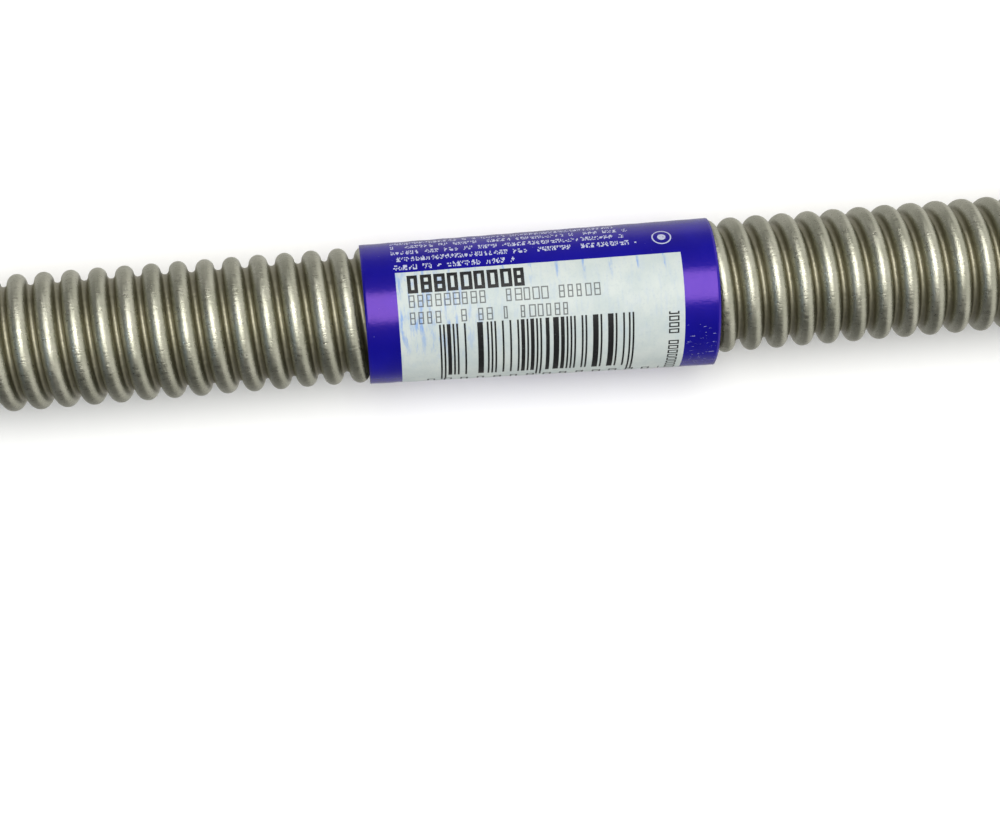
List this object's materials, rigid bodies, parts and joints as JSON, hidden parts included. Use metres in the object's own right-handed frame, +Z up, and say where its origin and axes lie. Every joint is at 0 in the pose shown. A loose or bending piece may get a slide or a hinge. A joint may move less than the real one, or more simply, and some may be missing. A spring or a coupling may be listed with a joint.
{
  "type": "corrugated water connector",
  "caption": "Corrugated stainless steel water connector with swivelling hexagonal pipe nuts, sealing washers and insulating sleeves, and a foil label wrapped round the tube.",
  "frame": {"origin": "on the tube's axis, halfway between the two nut faces, which is the centre of the bounding box", "axes": "+X along the tube towards the end further from the label, +Z up with a flat of each nut facing down, +Y across"},
  "size_m": [0.4572, 0.0366, 0.0318],
  "materials": {
    "stainless": "satin",
    "label_film": "gloss",
    "sleeve_plastic": "satin",
    "nut_metal": "satin",
    "washer_rubber": "matte"
  },
  "bodies": {
    "tube_body": {"tube_label_length": "stainless", "bend_a": "stainless", "bend_b": "stainless", "label": "label_film"},
    "tube_left": {"tube_left_end": "stainless"},
    "tube_second": {"tube_length_b": "stainless", "bend_c": "stainless"},
    "tube_third": {"tube_length_c": "stainless", "bend_d": "stainless"},
    "tube_right": {"tube_right_end": "stainless"},
    "sleeve_left_body": {"sleeve_left": "sleeve_plastic"},
    "sleeve_right_body": {"sleeve_right": "sleeve_plastic"},
    "nut_left_body": {"nut_left": "nut_metal"},
    "nut_right_body": {"nut_right": "nut_metal"},
    "washer_left_body": {"washer_left": "washer_rubber"},
    "washer_right_body": {"washer_right": "washer_rubber"}
  },
  "joints": [
    {"name": "bend_a", "type": "hinge", "parent": "tube_body", "child": "tube_left", "pos_m": [-0.14602, 0, 0], "axis": [0, 0, 1], "range_deg": [-30, 30], "deforming": ["bend_a"]},
    {"name": "bend_b", "type": "hinge", "parent": "tube_body", "child": "tube_second", "pos_m": [-0.00248, 0, 0], "axis": [0, 0, 1], "range_deg": [-30, 30], "deforming": ["bend_b"]},
    {"name": "bend_c", "type": "hinge", "parent": "tube_second", "child": "tube_third", "pos_m": [0.07178, 0, 0], "axis": [0, 0, 1], "range_deg": [-30, 30], "deforming": ["bend_c"]},
    {"name": "bend_d", "type": "hinge", "parent": "tube_third", "child": "tube_right", "pos_m": [0.14602, 0, 0], "axis": [0, 0, 1], "range_deg": [-30, 30], "deforming": ["bend_d"]},
    {"name": "nut_slide_left", "type": "slide", "parent": "tube_left", "child": "sleeve_left_body", "axis": [1, 0, 0], "range_m": [0, 0.0175]},
    {"name": "nut_swivel_left", "type": "hinge", "parent": "sleeve_left_body", "child": "nut_left_body", "pos_m": [-0.2176, 0, 0], "axis": [-1, 0, 0], "continuous": true},
    {"name": "washer_out_left", "type": "slide", "parent": "tube_left", "child": "washer_left_body", "axis": [-1, 0, 0], "range_m": [0, 0.02]},
    {"name": "nut_slide_right", "type": "slide", "parent": "tube_right", "child": "sleeve_right_body", "axis": [-1, 0, 0], "range_m": [0, 0.0175]},
    {"name": "nut_swivel_right", "type": "hinge", "parent": "sleeve_right_body", "child": "nut_right_body", "pos_m": [0.2176, 0, 0], "axis": [1, 0, 0], "continuous": true},
    {"name": "washer_out_right", "type": "slide", "parent": "tube_right", "child": "washer_right_body", "axis": [1, 0, 0], "range_m": [0, 0.02]}
  ]
}
